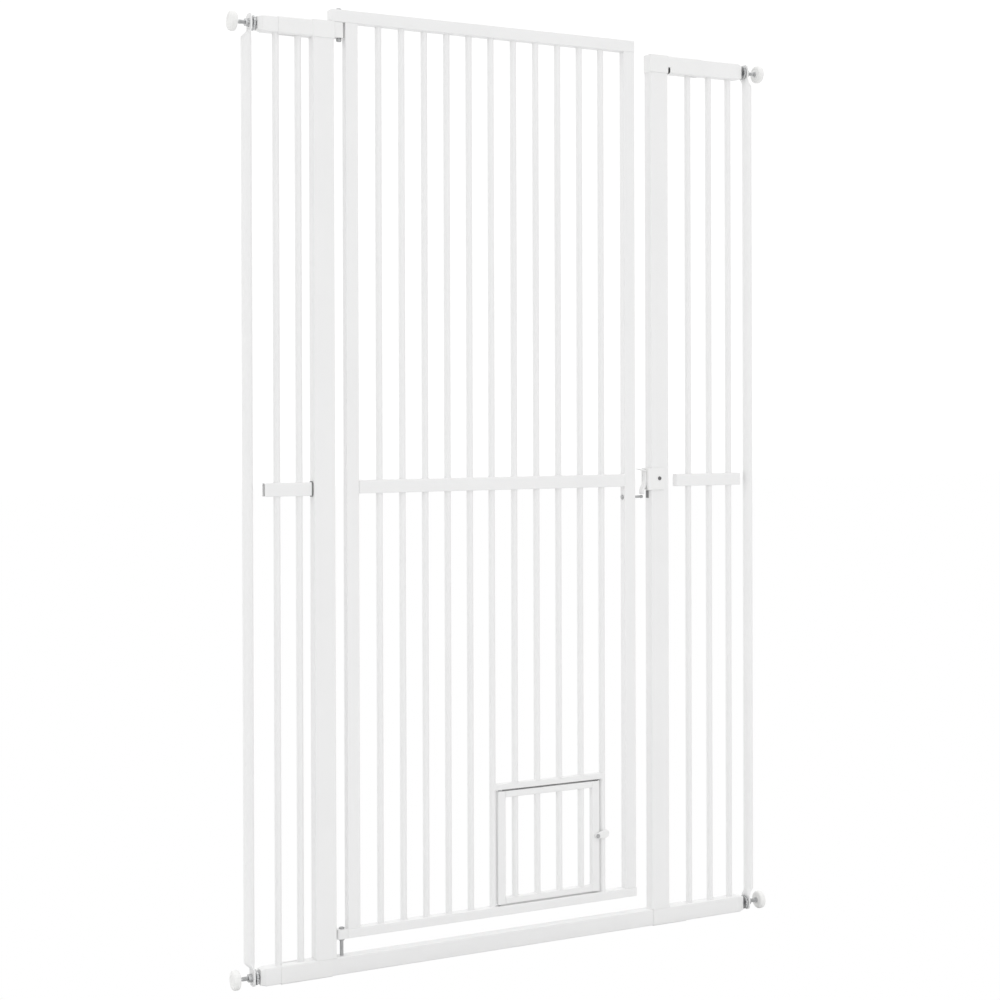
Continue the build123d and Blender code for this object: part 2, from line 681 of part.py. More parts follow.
with BuildPart() as bottom_hinge_pin:
    with BuildSketch(Plane.XY.offset(rail_top_face - pin_seat)):
        with Locations((hinge_x, 0)):
            Circle(hinge_pin_radius)
    extrude(amount=door_rail_top - rail_top_face + pin_seat)
    with BuildSketch(Plane.XY.offset(door_rail_top)):
        with Locations((hinge_x, 0)):
            Circle(hinge_head_radius)
    extrude(amount=hinge_head_height)
    fillet(bottom_hinge_pin.edges().group_by(Axis.Z)[-1], hinge_head_height / 2)
keep(bottom_hinge_pin, "bottom_hinge_pin")

# Flanged washer under the hinge block, running down to a narrow collar round the pin.
washer_bottom = door_bottom - washer_thickness
with BuildPart() as hinge_washer:
    with Locations((hinge_x, 0, door_bottom)):
        Cylinder(washer_radius, washer_thickness, align=(Align.CENTER, Align.CENTER, Align.MAX))
    with Locations((hinge_x, 0, washer_bottom)):
        Cone(washer_cone_radius, washer_radius, washer_cone_height,
             align=(Align.CENTER, Align.CENTER, Align.MAX))
    with Locations((hinge_x, 0, washer_bottom)):
        Cylinder(hinge_pin_radius, 4 * washer_cone_height, mode=Mode.SUBTRACT)
keep(hinge_washer, "hinge_washer")

# ---- Cat door ---------------------------------------------------------------------------
with BuildPart() as cat_hinge_stile:
    add(upright_tube(cat_left + cat_stile_width / 2, cat_bottom, cat_top, cat_stile_width,
                     cat_tube, door_wall, cat_tube_corner).part)
    for end_z, inward in ((cat_bottom, 1), (cat_top, -1)):
        with BuildSketch(Plane.XY.offset(end_z)):
            with Locations((cat_left + cat_stile_width / 2, 0)):
                Rectangle(cat_stile_width - 2 * door_wall, cat_tube - 2 * door_wall)
            with Locations((cat_hinge_x, 0)):
                Circle(cat_pin_radius, mode=Mode.SUBTRACT)
        extrude(amount=inward * cat_pin_bite)
keep(cat_hinge_stile, "cat_door_hinge_stile")

with BuildPart() as cat_latch_stile:
    add(upright_tube(cat_right - cat_stile_width / 2, cat_bottom, cat_top, cat_stile_width,
                     cat_tube, door_wall, cat_tube_corner).part)
    with Locations((button_x, -cat_tube / 2, button_z)):
        Cylinder(rivet_radius, 4 * door_wall, rotation=(90, 0, 0), mode=Mode.SUBTRACT)
keep(cat_latch_stile, "cat_door_latch_stile")

cat_rail_left = cat_left + cat_stile_width
cat_rail_right = cat_right - cat_stile_width
for rail_name, rail_mid in (("bottom", cat_bottom + cat_tube / 2), ("top", cat_top - cat_tube / 2)):
    keep(tube_along_x(cat_rail_left, cat_rail_right, rail_mid, cat_tube, cat_tube, door_wall,
                      cat_tube_corner), f"cat_door_{rail_name}_rail")

keep(upright_bars(short_places, cat_bottom + cat_tube, cat_top - cat_tube), "cat_door_bars")

with BuildPart() as cat_hinge_pins:
    for start, end in (
        (cat_bottom - cat_bottom_gap - door_wall, cat_bottom + cat_pin_bite),
        (cat_top - cat_pin_bite, header_bottom + door_wall),
    ):
        with BuildSketch(Plane.XY.offset(start)):
            with Locations((cat_hinge_x, 0)):
                Circle(cat_pin_radius)
        extrude(amount=end - start)
keep(cat_hinge_pins, "cat_door_hinge_pins")

button_back = -max(cat_tube / 2 + button_play, bar_radius + button_bar_play)
button_front = button_back - button_thickness
with BuildPart() as turn_button_rivet:
    with BuildSketch(Plane.XZ.offset(cat_tube / 2 - door_wall)):
        with Locations((button_x, button_z)):
            Circle(rivet_radius)
    extrude(amount=-button_front + rivet_play - cat_tube / 2 + door_wall)
    with BuildSketch(Plane.XZ.offset(-button_front + rivet_play)):
        with Locations((button_x, button_z)):
            Circle(rivet_head_radius)
    extrude(amount=rivet_head_height)
    fillet(turn_button_rivet.edges().group_by(Axis.Y)[0], rivet_head_height / 2)
keep(turn_button_rivet, "turn_button_rivet")

# Turn button: a round eye on the rivet that widens into an oval paddle.
slant_x = cos(radians(button_slant))
slant_z = sin(radians(button_slant))
paddle_reach = button_length - button_radius
with BuildPart() as turn_button:
    with BuildSketch(Plane.XZ.offset(-button_back)):
        with Locations((button_x, button_z)):
            Circle(button_eye_radius)
        with Locations((button_x + paddle_reach * slant_x, button_z + paddle_reach * slant_z)):
            Circle(button_radius)
        make_hull()
    extrude(amount=button_thickness)
    fillet(turn_button.edges().group_by(Axis.Y)[0], button_thickness / 3)
    with Locations((button_x, button_back, button_z)):
        Cylinder(rivet_radius + hinge_fit, 4 * button_thickness, rotation=(90, 0, 0),
                 mode=Mode.SUBTRACT)
keep(turn_button, "turn_button")

# ---- Latch ------------------------------------------------------------------------------
wing_x = latch_face_x - housing_wing
with BuildPart() as latch_housing:
    with BuildSketch(Plane.XY.offset(housing_bottom)):
        with BuildLine():
            Polyline(
                (wing_x, -housing_front), (wing_x + housing_wing + housing_width, -housing_front),
                (wing_x + housing_wing + housing_width, -post_depth / 2 - hole_fit),
                (latch_face_x - hole_fit, -post_depth / 2 - hole_fit),
                (latch_face_x - hole_fit, housing_back), (wing_x, housing_back), close=True,
            )
        make_face()
    extrude(amount=housing_top - housing_bottom)
    fillet(
        latch_housing.edges().filter_by(Axis.Z).group_by(Axis.Y)[0], housing_plate / 2
    )
    with Locations((latch_face_x - housing_wing / 2, 0, housing_bottom - housing_plate)):
        Box(2 * housing_wing, slot_width, housing_top - housing_bottom,
            align=(Align.CENTER, Align.CENTER, Align.MIN), mode=Mode.SUBTRACT)
    with Locations((latch_face_x - pivot_out, 0, pivot_z)):
        Cylinder(pivot_radius, slot_width + 2 * pivot_seat, rotation=(90, 0, 0), mode=Mode.SUBTRACT)
    with Locations((screw_x, -housing_front, screw_z)):
        Cylinder(screw_radius, 4 * housing_plate, rotation=(90, 0, 0), mode=Mode.SUBTRACT)
keep(latch_housing, "latch_housing")

with BuildPart() as latch_screw:
    with BuildSketch(Plane.XZ.offset(housing_front)):
        with Locations((screw_x, screw_z)):
            Circle(screw_head_radius)
    extrude(amount=screw_head_height)
    fillet(latch_screw.edges().group_by(Axis.Y)[0], screw_head_height / 2)
    with BuildSketch(Plane.XZ.offset(housing_front)):
        with Locations((screw_x, screw_z)):
            Circle(screw_radius)
    extrude(amount=-screw_length)
keep(latch_screw, "latch_screw")

with BuildPart() as lever_pivot_pin:
    with BuildSketch(Plane.XZ):
        with Locations((latch_face_x - pivot_out, pivot_z)):
            Circle(pivot_radius)
    extrude(amount=slot_width / 2 + pivot_seat, both=True)
keep(lever_pivot_pin, "lever_pivot_pin")

# Return spring: a few close turns round the pivot pin, beside the lever.
spring_y = slot_width / 2 - spring_width - side_play / 2
with BuildPart() as latch_spring:
    with BuildSketch(Plane.XZ.offset(-spring_y)):
        with Locations((latch_face_x - pivot_out, pivot_z)):
            Circle(spring_radius)
            Circle(pivot_radius + hole_fit, mode=Mode.SUBTRACT)
    extrude(amount=-spring_width)
keep(latch_spring, "latch_spring")

# Lever outline, as (outwards from the post's side, height above the pivot):
# the thumb lip is on top and the nose reaches down over the bolt's head.
nose_tip = bolt_head_radius + nose_play - bolt_drop
lever_outline = (
    (26.0, 15.0), (26.0, 13.6), (10.0, 9.5), (10.0, -9.5), (18.8, -27.5), (18.8, nose_tip),
    (13.8, nose_tip), (13.8, -29.0), (7.0, -15.0), (3.0, -5.0), (3.0, 12.5),
)
with BuildPart() as latch_lever:
    with BuildSketch(Plane.XZ.offset(-lever_offset)):
        with BuildLine():
            Polyline(*[(latch_face_x - far, pivot_z + rise) for far, rise in lever_outline],
                     close=True)
        make_face()
        with Locations((latch_face_x - pivot_out, pivot_z)):
            Circle(pivot_radius + hinge_fit, mode=Mode.SUBTRACT)
    extrude(amount=lever_width / 2, both=True)
keep(latch_lever, "latch_lever")

with BuildPart() as latch_strike:
    with Locations((latch_face_x, strike_offset, bolt_z + strike_rise)):
        Box(strike_thickness, strike_width, strike_height,
            align=(Align.MAX, Align.CENTER, Align.CENTER))
keep(latch_strike, "latch_strike")

# The bolt runs through the latch stile from a pan nut, and ends in a round head.
bolt_tip_x = latch_face_x - bolt_tip_gap
inner_face_x = door_right - stile_width
with BuildPart() as latch_bolt:
    with BuildSketch(Plane.YZ.offset(inner_face_x - pan_nut_height / 2)):
        with Locations((0, bolt_z)):
            Circle(bolt_radius)
    extrude(amount=bolt_tip_x - inner_face_x + pan_nut_height / 2)
    with BuildSketch(Plane.YZ.offset(bolt_tip_x)):
        with Locations((0, bolt_z)):
            Circle(bolt_head_radius)
    extrude(amount=-bolt_head_length)
    fillet(latch_bolt.edges().group_by(Axis.X)[-1], bolt_head_radius / 4)
keep(latch_bolt, "latch_bolt")

with BuildPart() as latch_bolt_nuts:
    with BuildSketch(Plane.YZ.offset(inner_face_x)):
        with Locations((0, bolt_z)):
            Circle(pan_nut_radius)
    extrude(amount=-pan_nut_height)
    fillet(latch_bolt_nuts.edges().group_by(Axis.X)[0], pan_nut_height / 2)
    with BuildSketch(Plane.YZ.offset(door_right)):
        with Locations((0, bolt_z)):
            RegularPolygon(thin_nut_flats / 2, 6, major_radius=False)
    extrude(amount=thin_nut_height)
    with Locations((door_right, 0, bolt_z)):
        Cylinder(bolt_radius, 2 * stile_width + pan_nut_height, rotation=(0, 90, 0),
                 mode=Mode.SUBTRACT)
keep(latch_bolt_nuts, "latch_bolt_nuts")
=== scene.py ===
import math

import bpy
from mathutils import Matrix, Vector


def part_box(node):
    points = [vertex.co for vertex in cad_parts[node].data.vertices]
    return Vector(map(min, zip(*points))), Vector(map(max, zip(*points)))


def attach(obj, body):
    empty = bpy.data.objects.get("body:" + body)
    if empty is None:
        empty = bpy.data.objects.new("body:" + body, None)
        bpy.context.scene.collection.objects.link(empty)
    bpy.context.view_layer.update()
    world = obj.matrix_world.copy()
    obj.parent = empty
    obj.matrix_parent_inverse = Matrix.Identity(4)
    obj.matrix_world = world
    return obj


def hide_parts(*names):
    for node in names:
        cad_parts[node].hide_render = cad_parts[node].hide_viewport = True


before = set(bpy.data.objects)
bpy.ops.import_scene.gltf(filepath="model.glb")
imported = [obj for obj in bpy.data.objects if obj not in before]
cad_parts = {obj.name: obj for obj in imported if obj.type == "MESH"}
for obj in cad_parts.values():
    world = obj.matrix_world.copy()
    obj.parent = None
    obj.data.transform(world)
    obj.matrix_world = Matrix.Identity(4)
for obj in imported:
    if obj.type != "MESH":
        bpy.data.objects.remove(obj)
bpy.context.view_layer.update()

# A tall pressure-fit pet gate: powder-coated steel tube, moulded connectors and zinc hardware.
# Metres throughout: X runs across the doorway, -Y faces the person at the latch, +Z is up.


# ---- Studio -----------------------------------------------------------------------------
# A white room: a pale floor, brighter light from overhead than from the sides, so that the
# upper faces of the tubes wash out and their undersides read as a thin dark line.
scene = bpy.context.scene
scene.view_settings.view_transform = "Standard"
scene.view_settings.look = "None"

bpy.ops.object.camera_add(location=(-1.6347, -3.1124, 1.0543))
camera = bpy.context.object
camera.name = "camera"
yaw, pitch, roll = math.radians(27.221), math.radians(-0.268), math.radians(-0.162)
ahead = Vector((math.sin(yaw) * math.cos(pitch), math.cos(yaw) * math.cos(pitch), math.sin(pitch)))
level = Vector((math.cos(yaw), -math.sin(yaw), 0))
upward = level.cross(ahead)
right_hand = level * math.cos(roll) + upward * math.sin(roll)
overhead = upward * math.cos(roll) - level * math.sin(roll)
turned_frame = Matrix((right_hand, overhead, -ahead)).transposed()
camera.rotation_euler = turned_frame.to_euler()
camera.data.sensor_width = 36
camera.data.lens = 64.48
camera.data.shift_y = -0.0822
camera.data.clip_end = 60
scene.camera = camera


def seen_white(tree, lit, white_strength):
    """Show plain white to the eye, and cast the lit shader's light on everything else."""
    ray = tree.nodes.new("ShaderNodeLightPath")
    white = tree.nodes.new("ShaderNodeEmission")
    white.inputs["Strength"].default_value = white_strength
    choice = tree.nodes.new("ShaderNodeMixShader")
    tree.links.new(ray.outputs["Is Camera Ray"], choice.inputs[0])
    tree.links.new(lit, choice.inputs[1])
    tree.links.new(white.outputs[0], choice.inputs[2])
    return choice.outputs[0]


bpy.ops.mesh.primitive_plane_add(size=40, location=(0, 0, -0.0002))
floor = bpy.context.object
floor.name = "floor"
floor_paint = bpy.data.materials.new("floor_paint")
floor_paint.use_nodes = True
floor_shader = floor_paint.node_tree.nodes["Principled BSDF"]
floor_shader.inputs["Base Color"].default_value = (0.8, 0.8, 0.8, 1)
floor_shader.inputs["Roughness"].default_value = 0.9
floor_paint.node_tree.links.new(
    seen_white(floor_paint.node_tree, floor_shader.outputs[0], 1.0),
    floor_paint.node_tree.nodes["Material Output"].inputs["Surface"],
)
floor.data.materials.append(floor_paint)

room = bpy.data.worlds.new("room")
room.use_nodes = True
scene.world = room
air = room.node_tree.nodes
wires = room.node_tree.links
heading = air.new("ShaderNodeTexCoord")
parts_of = air.new("ShaderNodeSeparateXYZ")
wires.new(heading.outputs["Generated"], parts_of.inputs[0])


def ramp(value, stops):
    """A grey ramp in the room's light: value runs through (place, brightness) stops."""
    node = air.new("ShaderNodeValToRGB")
    node.color_ramp.interpolation = "EASE"
    while len(node.color_ramp.elements) < len(stops):
        node.color_ramp.elements.new(0.5)
    for element, (place, bright) in zip(node.color_ramp.elements, stops):
        element.position = place
        element.color = (bright, bright, bright, 1)
    shift = air.new("ShaderNodeMath")
    shift.operation = "MULTIPLY_ADD"
    shift.inputs[1].default_value = 0.5
    shift.inputs[2].default_value = 0.5
    wires.new(value, shift.inputs[0])
    wires.new(shift.outputs[0], node.inputs[0])
    return node.outputs[0]


across = ramp(parts_of.outputs[0], ((0.0, 1.0), (0.35, 1.0), (0.6, 0.97), (1.0, 0.92)))
rising = ramp(parts_of.outputs[2], ((0.0, 0.8), (0.6, 0.8), (0.68, 0.45), (0.76, 0.8), (1.0, 1.0)))
both = air.new("ShaderNodeMix")
both.data_type = "RGBA"
both.blend_type = "MULTIPLY"
both.inputs["Factor"].default_value = 1
wires.new(across, both.inputs["A"])
wires.new(rising, both.inputs["B"])
wires.new(both.outputs["Result"], air["Background"].inputs["Color"])
air["Background"].inputs["Strength"].default_value = 1.47
wires.new(seen_white(room.node_tree, air["Background"].outputs[0], 1.05),
          air["World Output"].inputs["Surface"])


# ---- Tube frame: posts, threshold, rails, bars, strips and wall bars ----------------------
# Mild steel tube, welded, then powder coated white in one pass. The coat is satin, with a
# fine orange peel and a slight drift in tone along a length.
def shader_group(name, inputs, outputs):
    """An empty node group with these float inputs and colour or float outputs."""
    group = bpy.data.node_groups.new(name, "ShaderNodeTree")
    for label, value in inputs.items():
        socket = group.interface.new_socket(label, in_out="INPUT", socket_type="NodeSocketFloat")
        socket.default_value = value
    for label, kind in outputs.items():
        group.interface.new_socket(label, in_out="OUTPUT", socket_type=kind)
    return group, group.nodes.new("NodeGroupInput"), group.nodes.new("NodeGroupOutput")


def place_noise(tree, scale, detail=2.0, roughness=0.5, stretch=(1, 1, 1)):
    """Noise in object space, in cells per metre, drawn out by the stretch."""
    spot = tree.nodes.new("ShaderNodeTexCoord")
    mapping = tree.nodes.new("ShaderNodeMapping")
    mapping.inputs["Scale"].default_value = stretch
    noise = tree.nodes.new("ShaderNodeTexNoise")
    noise.inputs["Detail"].default_value = detail
    noise.inputs["Roughness"].default_value = roughness
    if isinstance(scale, (int, float)):
        noise.inputs["Scale"].default_value = scale
    else:
        tree.links.new(scale, noise.inputs["Scale"])
    tree.links.new(spot.outputs["Object"], mapping.inputs["Vector"])
    tree.links.new(mapping.outputs[0], noise.inputs["Vector"])
    return noise.outputs["Fac"]


def spread(tree, value, low, high):
    """Map 0.3..0.7, where noise mostly lies, to low..high."""
    node = tree.nodes.new("ShaderNodeMapRange")
    node.inputs["From Min"].default_value = 0.3
    node.inputs["From Max"].default_value = 0.7
    for socket, end in (("To Min", low), ("To Max", high)):
        if isinstance(end, (int, float)):
            node.inputs[socket].default_value = end
        else:
            tree.links.new(end, node.inputs[socket])
    tree.links.new(value, node.inputs["Value"])
    return node.outputs[0]


# Surface skin: a height made of a coarse flow and a fine grain.
skin, skin_in, skin_out = shader_group(
    "skin", {"Flow Scale": 300.0, "Grain Scale": 2500.0, "Grain Share": 0.3},
    {"Height": "NodeSocketFloat"},
)
flow = place_noise(skin, skin_in.outputs["Flow Scale"], 1.5)
grain = place_noise(skin, skin_in.outputs["Grain Scale"], 3.0)
blend_height = skin.nodes.new("ShaderNodeMix")
skin.links.new(skin_in.outputs["Grain Share"], blend_height.inputs["Factor"])
skin.links.new(flow, blend_height.inputs["A"])
skin.links.new(grain, blend_height.inputs["B"])
skin.links.new(blend_height.outputs["Result"], skin_out.inputs["Height"])

# Tone: a slow drift that moves a surface between its two close colours and glosses.
drift, drift_in, drift_out = shader_group(
    "tone_drift", {"Scale": 6.0, "Dull": 0.45, "Bright": 0.35},
    {"Mask": "NodeSocketFloat", "Roughness": "NodeSocketFloat"},
)
slow = spread(drift, place_noise(drift, drift_in.outputs["Scale"], 4.0, 0.6), 0.0, 1.0)
gloss = spread(drift, place_noise(drift, 38.0, 5.0, 0.65), drift_in.outputs["Dull"],
               drift_in.outputs["Bright"])
drift.links.new(slow, drift_out.inputs["Mask"])
drift.links.new(gloss, drift_out.inputs["Roughness"])


def finish_material(name, tones, drift_values, skin_values, bump, **constants):
    """A material from two close tones, a drifting gloss and a skin raised by bump metres."""
    material = bpy.data.materials.new(name)
    material.use_nodes = True
    tree = material.node_tree
    shader = tree.nodes["Principled BSDF"]
    for socket, value in constants.items():
        shader.inputs[socket.replace("_", " ")].default_value = value
    tone = tree.nodes.new("ShaderNodeGroup")
    tone.node_tree = drift
    for socket, value in zip(("Scale", "Dull", "Bright"), drift_values):
        tone.inputs[socket].default_value = value
    mix = tree.nodes.new("ShaderNodeMix")
    mix.data_type = "RGBA"
    mix.inputs["A"].default_value = (*tones[0], 1)
    mix.inputs["B"].default_value = (*tones[1], 1)
    tree.links.new(tone.outputs["Mask"], mix.inputs["Factor"])
    tree.links.new(mix.outputs["Result"], shader.inputs["Base Color"])
    tree.links.new(tone.outputs["Roughness"], shader.inputs["Roughness"])
    surface = tree.nodes.new("ShaderNodeGroup")
    surface.node_tree = skin
    for socket, value in zip(("Flow Scale", "Grain Scale", "Grain Share"), skin_values):
        surface.inputs[socket].default_value = value
    raised = tree.nodes.new("ShaderNodeBump")
    raised.inputs["Strength"].default_value = 1.0
    raised.inputs["Distance"].default_value = bump
    tree.links.new(surface.outputs["Height"], raised.inputs["Height"])
    tree.links.new(raised.outputs["Normal"], shader.inputs["Normal"])
    return material


powder_coat = finish_material(
    "white_powder_coat", ((0.80, 0.80, 0.80), (0.82, 0.82, 0.819)), (5.0, 0.46, 0.36),
    (420.0, 2600.0, 0.25), 0.00005,
)


def wear(material, *names):
    """Give CAD nodes this material."""
    for name in names:
        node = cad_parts[name]
        node.data.materials.clear()
        node.data.materials.append(material)


def settle(piece, name, body, material, angle=35):
    """Name a finished piece, fix its place in its mesh, and give it finish and body."""
    bpy.ops.object.select_all(action="DESELECT")
    piece.select_set(True)
    bpy.context.view_layer.objects.active = piece
    bpy.ops.object.transform_apply(location=True, rotation=True, scale=True)
    bpy.ops.object.shade_smooth_by_angle(angle=math.radians(angle))
    piece.name = name
    piece.data.name = name
    piece.data.materials.clear()
    piece.data.materials.append(material)
    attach(piece, body)
    return piece


def bar_centres(name):
    """The x of each upright round bar in a CAD node, from the gaps in its mesh."""
    smallest_gap = 0.015
    places = sorted(corner.co.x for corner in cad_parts[name].data.vertices)
    groups = [[places[0]]]
    for place in places[1:]:
        if place - groups[-1][-1] > smallest_gap:
            groups.append([])
        groups[-1].append(place)
    return [(group[0] + group[-1]) / 2 for group in groups]


def weld_beads(name, body, spots):
    """Small fillet welds round bars: one ring at each (x, z), all in one piece."""
    bar_radius = 0.0064
    bead_size = 0.0009
    rings = []
    for x, z in spots:
        bpy.ops.object.select_all(action="DESELECT")
        bpy.ops.mesh.primitive_torus_add(
            location=(x, 0, z), major_radius=bar_radius, minor_radius=bead_size,
            major_segments=24, minor_segments=6,
        )
        ring = bpy.context.object
        bpy.ops.object.mode_set(mode="EDIT")
        bpy.ops.mesh.select_all(action="SELECT")
        bpy.ops.transform.resize(value=(1, 1, 0.8), center_override=(x, 0, z))
        bpy.ops.object.mode_set(mode="OBJECT")
        rings.append(ring)
    bpy.ops.object.select_all(action="DESELECT")
    for ring in rings:
        ring.select_set(True)
    bpy.context.view_layer.objects.active = rings[0]
    bpy.ops.object.join()
    return settle(bpy.context.object, name, body, powder_coat, 60)


SIDES = ("left", "right")
LEVELS = ("bottom", "top")
wear(powder_coat, "threshold_rail")
for side in SIDES:
    wear(powder_coat, f"{side}_post", f"{side}_side_bars", f"{side}_side_strip", f"{side}_wall_bar")
    for level_name in LEVELS:
        wear(powder_coat, f"{side}_{level_name}_rail")
    bars_low, bars_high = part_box(f"{side}_side_bars")
    strip_low, strip_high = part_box(f"{side}_side_strip")
    weld_beads(f"{side}_panel_welds", "frame", [
        (x, z) for x in bar_centres(f"{side}_side_bars")
        for z in (bars_low[2], bars_high[2], strip_low[2], strip_high[2])
    ])

# ---- Connectors and rail caps ---------------------------------------------------------------
# Moulded white plastic sleeves that join post and extension rail, and plugs in the rails'
# ends. Satin, a touch warmer than the coat, with a fine moulded grain and rounded edges.
plastic = finish_material(
    "white_plastic", ((0.80, 0.80, 0.797), (0.82, 0.82, 0.817)), (9.0, 0.42, 0.32),
    (160.0, 4200.0, 0.6), 0.00003,
)


def softened(node_name, name, body, width, material, segments=2):
    """A copy of a CAD node with its sharp edges rounded, standing in for the node."""
    bpy.ops.object.select_all(action="DESELECT")
    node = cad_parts[node_name]
    piece = bpy.data.objects.new(name, node.data.copy())
    scene.collection.objects.link(piece)
    piece.select_set(True)
    bpy.context.view_layer.objects.active = piece
    bpy.ops.object.mode_set(mode="EDIT")
    bpy.ops.mesh.select_all(action="SELECT")
    bpy.ops.mesh.remove_doubles(threshold=0.00001)
    bpy.ops.mesh.dissolve_limited(angle_limit=math.radians(0.5))
    bpy.ops.object.mode_set(mode="OBJECT")
    rounding = piece.modifiers.new("rounding", "BEVEL")
    rounding.width = width
    rounding.segments = segments
    rounding.limit_method = "ANGLE"
    rounding.angle_limit = math.radians(40)
    bpy.ops.object.modifier_apply(modifier=rounding.name)
    settle(piece, name, body, material)
    flatter = piece.modifiers.new("flatter", "WEIGHTED_NORMAL")
    flatter.weight = 100
    flatter.keep_sharp = True
    bpy.ops.object.modifier_apply(modifier=flatter.name)
    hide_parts(node_name)
    return piece


for side in SIDES:
    for level_name in LEVELS:
        softened(f"{side}_{level_name}_connector", f"{side}_{level_name}_moulded_connector",
                 "frame", 0.0005, plastic)
softened("rail_end_caps", "moulded_rail_caps", "frame", 0.0008, plastic, 3)

# ---- Side strip shadow collar -----------------------------------------------------------
# A short oval collar with rounded rims that fills the gap between the left strip's end and the
# side of the post. Its dark colour is painted shadow, standing in for the shade in that gap.
# Dark plastic for the latch strike and the header buffer. On the strip collar the same dark colour
# is painted shadow.
dark_plastic = finish_material(
    "dark_plastic", ((0.17, 0.17, 0.173), (0.21, 0.21, 0.213)), (40.0, 0.6, 0.45),
    (300.0, 5000.0, 0.6), 0.00004,
)
post_low, post_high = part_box("left_post")
strip_low, strip_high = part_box("left_side_strip")
shade_collar_depth = post_low[0] - strip_high[0]
shade_collar_x = (post_low[0] + strip_high[0]) / 2
shade_collar_z = (strip_low[2] + strip_high[2]) / 2
shade_collar_radius = 0.0075
shade_collar_stretch = 0.007
bpy.ops.object.select_all(action="DESELECT")
bpy.ops.mesh.primitive_cylinder_add(vertices=48, radius=shade_collar_radius, depth=shade_collar_depth,
                                    location=(shade_collar_x, 0, shade_collar_z),
                                    rotation=(0, math.pi / 2, 0))
socket = bpy.context.object
bpy.ops.object.transform_apply(location=True, rotation=True, scale=True)
for corner in socket.data.vertices:
    corner.co.z += math.copysign(shade_collar_stretch, corner.co.z - shade_collar_z)
bpy.ops.object.mode_set(mode="EDIT")
bpy.ops.mesh.select_all(action="SELECT")
bpy.ops.mesh.bevel(offset=0.0006, segments=2)
bpy.ops.object.mode_set(mode="OBJECT")
# The collar's dark colour is painted shadow in the gap at the strip's end.
settle(socket, "left_strip_shadow_collar", "frame", dark_plastic)

# ---- Spindles -------------------------------------------------------------------------------
# Each corner has a zinc-plated M8 rod with a rolled thread, a flanged lock nut against the wall
# bar's tab, a notched hand wheel, and a pale rubber pad moulded over the rod's head.
zinc = finish_material(
    "zinc_steel", ((0.48, 0.485, 0.49), (0.60, 0.605, 0.61)), (60.0, 0.4, 0.28),
    (900.0, 5200.0, 0.5), 0.00004, Metallic=1.0,
)
rubber = finish_material(
    "pad_rubber", ((0.80, 0.80, 0.79), (0.82, 0.82, 0.81)), (30.0, 0.75, 0.62),
    (700.0, 6000.0, 0.5), 0.00006,
)


def lathe(outline, count=48):
    """A turned shape up +Z from (height, radius) pairs: bored if the outline ends where it began."""
    bpy.ops.object.select_all(action="DESELECT")
    height, radius = outline[0]
    bpy.ops.mesh.primitive_circle_add(vertices=count, radius=radius, location=(0, 0, height))
    piece = bpy.context.object
    bpy.ops.object.mode_set(mode="EDIT")
    bpy.ops.mesh.select_mode(type="VERT")
    bpy.ops.mesh.select_all(action="SELECT")
    for next_height, next_radius in outline[1:]:
        bpy.ops.mesh.extrude_region_move(
            TRANSFORM_OT_translate={"value": (0, 0, next_height - height)}
        )
        ratio = next_radius / radius
        bpy.ops.transform.resize(value=(ratio, ratio, 1), center_override=(0, 0, next_height))
        height, radius = next_height, next_radius
    bpy.ops.mesh.select_all(action="SELECT")
    bpy.ops.mesh.remove_doubles(threshold=0.000005)
    if outline[0] != outline[-1]:
        bpy.ops.mesh.fill_holes(sides=count)
    bpy.ops.mesh.normals_make_consistent(inside=False)
    bpy.ops.object.mode_set(mode="OBJECT")
    return piece


def stand(piece, base, axis):
    """Turn a shape from +Z to the axis and move its foot to the base."""
    piece.rotation_euler = Vector((0, 0, 1)).rotation_difference(Vector(axis)).to_euler()
    piece.location = Vector(base) + (piece.rotation_euler.to_matrix() @ piece.location)


def coil(core, crest, pitch, turns, width, foot, steps=20):
    """A helical ridge up +Z from the foot: a three-sided section carried round by Screw."""
    bpy.ops.object.select_all(action="DESELECT")
    bpy.ops.mesh.primitive_circle_add(vertices=3, radius=1, location=(0, 0, 0))
    ridge = bpy.context.object
    middle = foot + pitch / 2
    for corner, (reach, rise) in zip(
        ridge.data.vertices, ((core, -width / 2), (crest, 0), (core, width / 2))
    ):
        corner.co = (reach, 0, middle + rise)
    winding = ridge.modifiers.new("winding", "SCREW")
    winding.axis = "Z"
    winding.screw_offset = pitch
    winding.iterations = turns
    winding.steps = steps
    winding.render_steps = steps
    winding.use_merge_vertices = True
    winding.merge_threshold = 0.000002
    bpy.ops.object.modifier_apply(modifier=winding.name)
    bpy.ops.object.mode_set(mode="EDIT")
    bpy.ops.mesh.select_all(action="SELECT")
    bpy.ops.mesh.fill_holes(sides=3)
    bpy.ops.mesh.normals_make_consistent(inside=False)
    bpy.ops.object.mode_set(mode="OBJECT")
    return ridge


def joined(first, *others):
    """Join loose shapes into the first one."""
    bpy.ops.object.select_all(action="DESELECT")
    for piece in (first, *others):
        piece.select_set(True)
    bpy.context.view_layer.objects.active = first
    bpy.ops.object.transform_apply(location=True, rotation=True, scale=True)
    bpy.ops.object.join()
    return bpy.context.object


